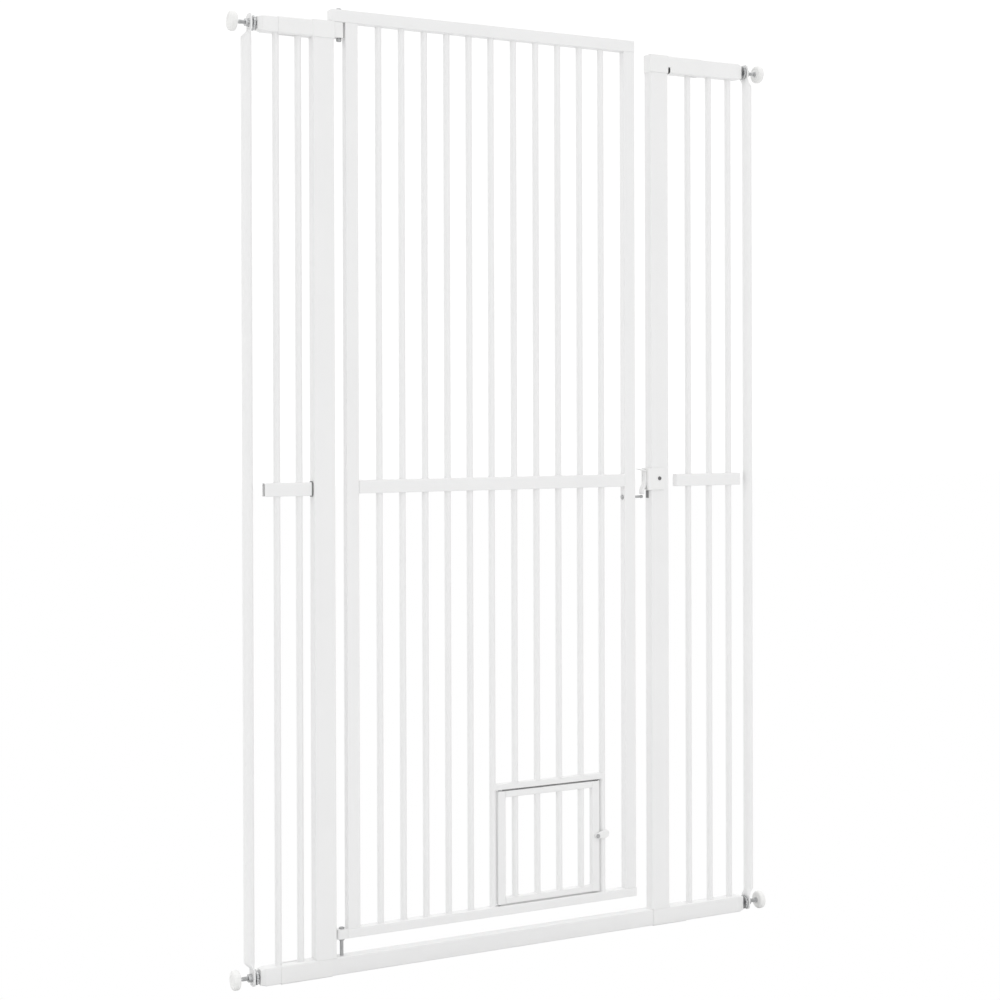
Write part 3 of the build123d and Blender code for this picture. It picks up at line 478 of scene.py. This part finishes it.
thread_pitch = 0.00125
softened("lock_nuts", "flanged_lock_nuts", "frame", 0.0005, zinc, 2)
for side in SIDES:
    inward = 1 if side == "left" else -1
    for level_name in LEVELS:
        corner_name = f"{side}_{level_name}"
        spindle = f"{corner_name}_spindle"
        rod_low, rod_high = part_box(f"{corner_name}_rod")
        pad_low, pad_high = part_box(f"{corner_name}_pad")
        axis_z = (rod_low[2] + rod_high[2]) / 2
        head_x = rod_low[0] if side == "left" else rod_high[0]
        wall_x = pad_low[0] if side == "left" else pad_high[0]
        pad_depth = pad_high[0] - pad_low[0]
        rod_length = rod_high[0] - rod_low[0]

        # The rod: a plain head in the pad, a pressed collar, then thread to a chamfered end.
        neck = pad_depth - abs(head_x - wall_x)
        shank = lathe([
            (0, 0.0037), (0.0003, 0.004), (neck, 0.004), (neck, 0.0051), (neck + 0.0004, 0.0055),
            (neck + 0.0026, 0.0055), (neck + 0.003, 0.0051), (neck + 0.003, 0.0035),
            (rod_length - 0.0012, 0.0035), (rod_length, 0.0026),
        ], 32)
        thread_foot = neck + 0.0055
        turns = int((rod_length - 0.0025 - thread_foot) / thread_pitch)
        ridge = coil(0.0034, 0.004, thread_pitch, turns, thread_pitch * 0.92, thread_foot)
        rod = joined(shank, ridge)
        stand(rod, (head_x, 0, axis_z), (inward, 0, 0))
        settle(rod, f"{corner_name}_threaded_rod", spindle, zinc, 40)
        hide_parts(f"{corner_name}_rod")

        # The pad: a flat grip face with a shallow ring groove, rolled rims and a low hub.
        foot = lathe([
            (0.0008, 0.0002), (0.0008, 0.0095), (0, 0.0101), (0, 0.0136), (0.0003, 0.0154),
            (0.0012, 0.0168), (0.0026, 0.0177), (0.0042, 0.018), (pad_depth - 0.0042, 0.018),
            (pad_depth - 0.0026, 0.0177), (pad_depth - 0.0012, 0.0168),
            (pad_depth - 0.0003, 0.0154), (pad_depth - 0.0001, 0.0125),
            (pad_depth - 0.0006, 0.012), (pad_depth - 0.0006, 0.0075),
            (pad_depth, 0.0066), (pad_depth, 0.00405), (pad_depth - 0.0042, 0.00405),
            (pad_depth - 0.0042, 0.0002),
        ], 64)
        stand(foot, (wall_x, 0, axis_z), (inward, 0, 0))
        settle(foot, f"{corner_name}_rubber_pad", spindle, rubber)
        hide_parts(f"{corner_name}_pad")

        softened(f"{corner_name}_hand_wheel", f"{corner_name}_notched_wheel",
                 f"{corner_name}_wheel", 0.0004, zinc, 2)

# ---- Door frame -----------------------------------------------------------------------------
# The swinging door is one weldment of square and round tube with the same powder coat. Its
# top rail runs on over the hinge bracket, where its end is rounded off.
wear(powder_coat, "door_hinge_stile", "door_latch_stile", "door_mid_rail", "door_bottom_rail",
     "door_bars", "door_latch_side_bar", "door_short_bars")
softened("door_top_rail", "door_top_rail_rounded", "door", 0.0006, powder_coat)
softened("cat_door_header", "cat_door_header_rounded", "door", 0.0004, powder_coat)
mid_low, mid_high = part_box("door_mid_rail")
door_spots = []
for bars in ("door_bars", "door_latch_side_bar", "door_short_bars"):
    bars_low, bars_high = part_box(bars)
    for x in bar_centres(bars):
        door_spots += [(x, bars_low[2]), (x, bars_high[2]), (x, mid_low[2]), (x, mid_high[2])]
weld_beads("door_welds", "door", door_spots)

# Buffer strip: dark, with shallow ribs on its underside, pressed on below the header, where
# the cat door's top would rattle.
header_low, header_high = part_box("cat_door_header")
pins_low, pins_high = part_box("cat_door_hinge_pins")
buffer_start = pins_high[0] + 0.003
buffer_end = header_high[0] - 0.008
buffer_thickness = 0.0016
buffer_width = 0.009
rib_width = 0.0009
rib_height = 0.0002
bpy.ops.object.select_all(action="DESELECT")
bpy.ops.mesh.primitive_cube_add(
    size=1, location=((buffer_start + buffer_end) / 2, 0, header_low[2] - buffer_thickness / 2),
    scale=(buffer_end - buffer_start, buffer_width, buffer_thickness),
)
buffer_strip = bpy.context.object
bpy.ops.object.transform_apply(location=True, rotation=True, scale=True)
bpy.ops.object.mode_set(mode="EDIT")
bpy.ops.mesh.select_all(action="DESELECT")
bpy.ops.object.mode_set(mode="OBJECT")
for face in buffer_strip.data.polygons:
    face.select = face.normal.z < -0.5
bpy.ops.object.mode_set(mode="EDIT")
bpy.ops.mesh.select_mode(type="FACE")
for step in range(3):
    bpy.ops.mesh.inset(thickness=rib_width, depth=rib_height if step % 2 else -rib_height)
bpy.ops.mesh.select_all(action="SELECT")
bpy.ops.mesh.normals_make_consistent(inside=False)
bpy.ops.object.mode_set(mode="OBJECT")
settle(buffer_strip, "header_buffer", "door", dark_plastic)

# ---- Door hinge -----------------------------------------------------------------------------
# Two zinc pins: the upper one goes down through rail and bracket into a dome nut, the lower
# one through the hinge block and a flanged washer into the threshold.
dark_zinc = finish_material(
    "dark_zinc_steel", ((0.36, 0.363, 0.368), (0.48, 0.483, 0.488)), (60.0, 0.46, 0.34),
    (900.0, 5200.0, 0.5), 0.00004, Metallic=1.0,
)
hinge_pieces = (
    ("top_hinge_pin", "upper_hinge_pin", 0.0003), ("top_hinge_nut", "hinge_dome_nut", 0.0004),
    ("bottom_hinge_pin", "lower_hinge_pin", 0.0003), ("hinge_washer", "flanged_washer", 0.0003),
)
for node_name, piece_name, width in hinge_pieces:
    softened(node_name, piece_name, "door", width, dark_zinc)

# ---- Latch ----------------------------------------------------------------------------------
# A white moulded housing laps the post's front and side and holds the lever on a steel pin,
# with a coil spring beside it. A dark plate on the post meets the zinc bolt in the door.
softened("latch_housing", "latch_housing_moulded", "frame", 0.0006, plastic)
softened("latch_lever", "latch_lever_moulded", "latch_lever", 0.0006, plastic)
softened("latch_strike", "latch_strike_moulded", "frame", 0.0003, dark_plastic)
softened("latch_bolt", "round_head_bolt", "door", 0.0003, dark_zinc)
softened("latch_bolt_nuts", "bolt_nuts", "door", 0.0003, dark_zinc)
softened("lever_pivot_pin", "lever_pin", "frame", 0.0002, zinc)

# Housing screw: a blackened pan head with a six-lobed recess.
blackened = finish_material(
    "blackened_steel", ((0.13, 0.13, 0.132), (0.17, 0.17, 0.172)), (60.0, 0.5, 0.4),
    (900.0, 5200.0, 0.5), 0.00003, Metallic=0.0,
)
screw_low, screw_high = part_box("latch_screw")
screw_x = (screw_low[0] + screw_high[0]) / 2
screw_z = (screw_low[2] + screw_high[2]) / 2
screw_top = screw_high[1] - screw_low[1]
screw_facets = 24
lobe_depth = 0.72
recess_rings = (6, 7)
head = lathe([
    (0, 0.00165), (0.0006, 0.002), (screw_top - 0.0022, 0.002), (screw_top - 0.0022, 0.004),
    (screw_top - 0.0011, 0.0038), (screw_top - 0.0003, 0.0029), (screw_top, 0.0018),
    (screw_top - 0.0014, 0.0015), (screw_top - 0.0018, 0.0002),
], screw_facets)
for number, corner in enumerate(head.data.vertices):
    if number // screw_facets in recess_rings and number % 4 not in (0, 1):
        corner.co.x *= lobe_depth
        corner.co.y *= lobe_depth
stand(head, (screw_x, screw_high[1], screw_z), (0, -1, 0))
settle(head, "housing_screw", "frame", blackened)
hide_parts("latch_screw")

# Return spring: four turns of thin wire round the pin, beside the lever.
spring_low, spring_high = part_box("latch_spring")
spring_length = spring_high[1] - spring_low[1]
wire = 0.00022
spring_radius = 0.0022
turn_count = 4
end_room = 0.05
spring_pitch = (spring_length - 2 * wire) / (turn_count + end_room)
bpy.ops.object.select_all(action="DESELECT")
bpy.ops.mesh.primitive_circle_add(vertices=8, radius=wire, location=(spring_radius, 0, 0),
                                  rotation=(math.pi / 2, 0, 0))
spring = bpy.context.object
bpy.ops.object.transform_apply(location=True, rotation=True, scale=True)
for corner in spring.data.vertices:
    corner.co.z += wire
winding = spring.modifiers.new("winding", "SCREW")
winding.axis = "Z"
winding.screw_offset = spring_pitch
winding.iterations = turn_count
winding.steps = 28
winding.render_steps = 28
bpy.ops.object.modifier_apply(modifier=winding.name)
bpy.ops.object.mode_set(mode="EDIT")
bpy.ops.mesh.select_all(action="SELECT")
bpy.ops.mesh.remove_doubles(threshold=0.000002)
bpy.ops.mesh.fill_holes(sides=8)
bpy.ops.mesh.normals_make_consistent(inside=False)
bpy.ops.object.mode_set(mode="OBJECT")
stand(spring, ((spring_low[0] + spring_high[0]) / 2, spring_low[1],
               (spring_low[2] + spring_high[2]) / 2), (0, 1, 0))
settle(spring, "lever_return_spring", "frame", zinc, 60)
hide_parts("latch_spring")

# ---- Cat door -------------------------------------------------------------------------------
# A small welded frame of square tube with four bars, on two steel pins. A white moulded turn
# button on a dark rivet holds it shut.
wear(powder_coat, "cat_door_bottom_rail", "cat_door_top_rail", "cat_door_bars")
for stile in ("hinge", "latch"):
    softened(f"cat_door_{stile}_stile", f"cat_door_{stile}_stile_rounded", "cat_door", 0.0003,
             powder_coat)
cat_low, cat_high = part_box("cat_door_bars")
weld_beads("cat_door_welds", "cat_door", [
    (x, z) for x in bar_centres("cat_door_bars") for z in (cat_low[2], cat_high[2])
])
softened("cat_door_hinge_pins", "cat_door_steel_pins", "cat_door", 0.0002, zinc)
softened("turn_button_rivet", "turn_button_steel_rivet", "cat_door", 0.0002, dark_zinc)
softened("turn_button", "turn_button_moulded", "turn_button", 0.0004, plastic)
